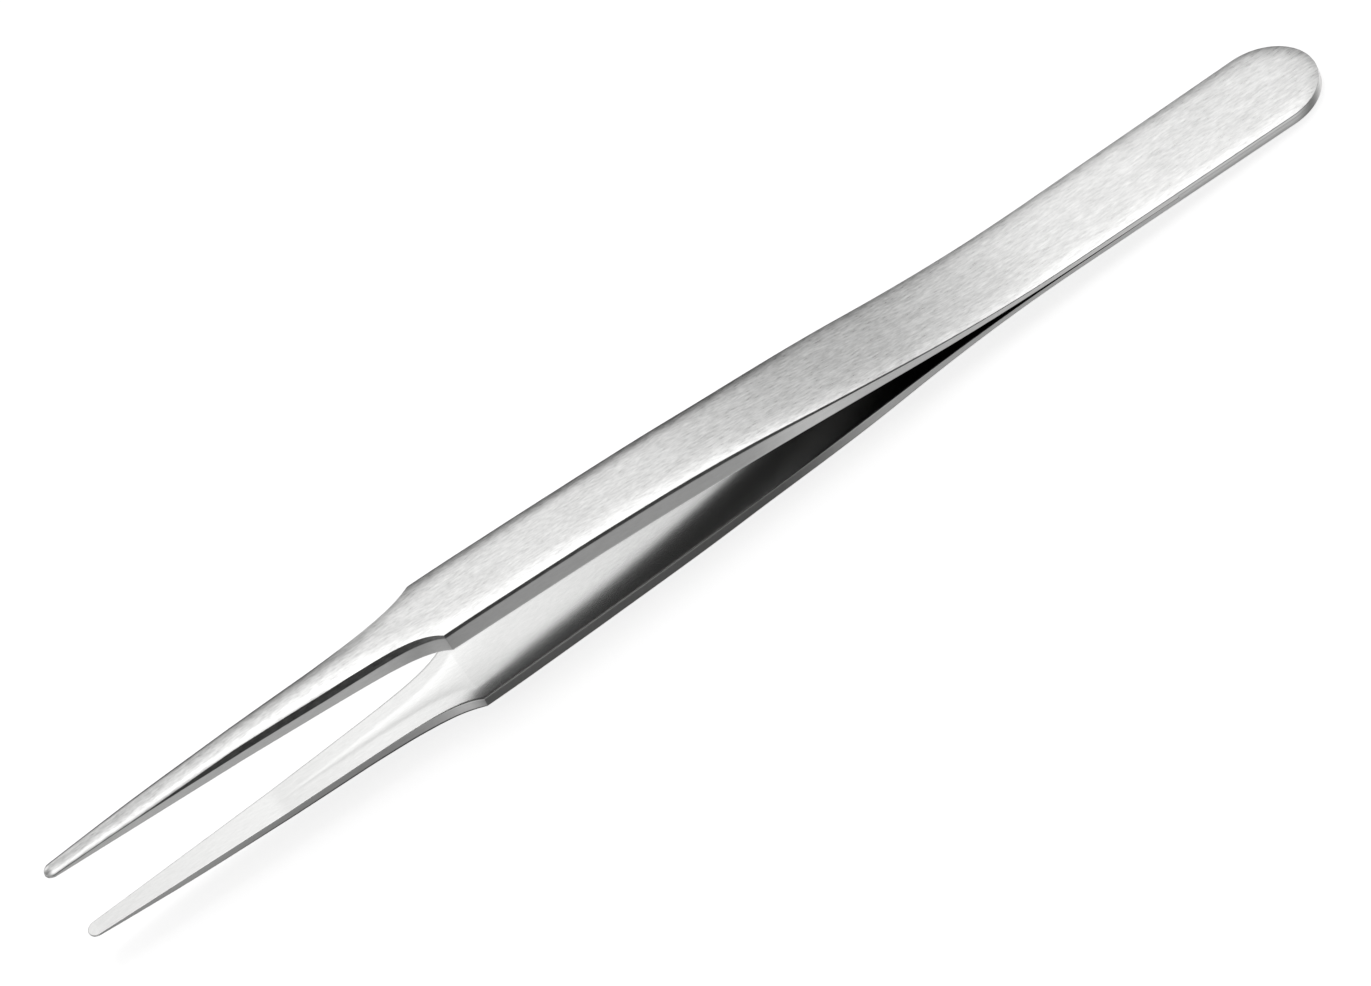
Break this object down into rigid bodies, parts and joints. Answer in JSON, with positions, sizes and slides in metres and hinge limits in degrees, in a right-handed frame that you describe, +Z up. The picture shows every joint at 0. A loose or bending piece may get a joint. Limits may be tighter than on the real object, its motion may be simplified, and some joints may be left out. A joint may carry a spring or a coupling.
{
  "type": "precision tweezers",
  "caption": "Flat-tip spring tweezers: two tapered steel arms welded at a rounded heel, with stepped shoulders and slim shanks that close when squeezed.",
  "frame": {"origin": "on the floor under the middle of the tweezers, which lie flat on the heel's end and the lower arm's belly", "axes": "+X towards the heel, along the length on the floor; +Y across the width; +Z up, the way the jaws open"},
  "size_m": [0.12, 0.0094, 0.0112],
  "materials": {
    "satin_steel": "satin, brushed along the length",
    "weld_metal": "fused, ground flush"
  },
  "bodies": {
    "heel": {"heel_weld": "weld_metal", "upper_arm_heel": "satin_steel", "lower_arm_heel": "satin_steel"},
    "upper_arm": {"upper_arm": "satin_steel"},
    "lower_arm": {"lower_arm": "satin_steel"}
  },
  "joints": [
    {"name": "upper_arm_flex", "type": "hinge", "parent": "heel", "child": "upper_arm", "pos_m": [0.02808, 0, 0.0027], "axis": [0, -1, 0], "range_deg": [0, 2.48], "stiffness_Nm_per_rad": 1.4},
    {"name": "lower_arm_flex", "type": "hinge", "parent": "heel", "child": "lower_arm", "pos_m": [0.02803, 0, 0.00183], "axis": [0, 1, 0], "range_deg": [0, 2.48], "stiffness_Nm_per_rad": 1.4}
  ]
}
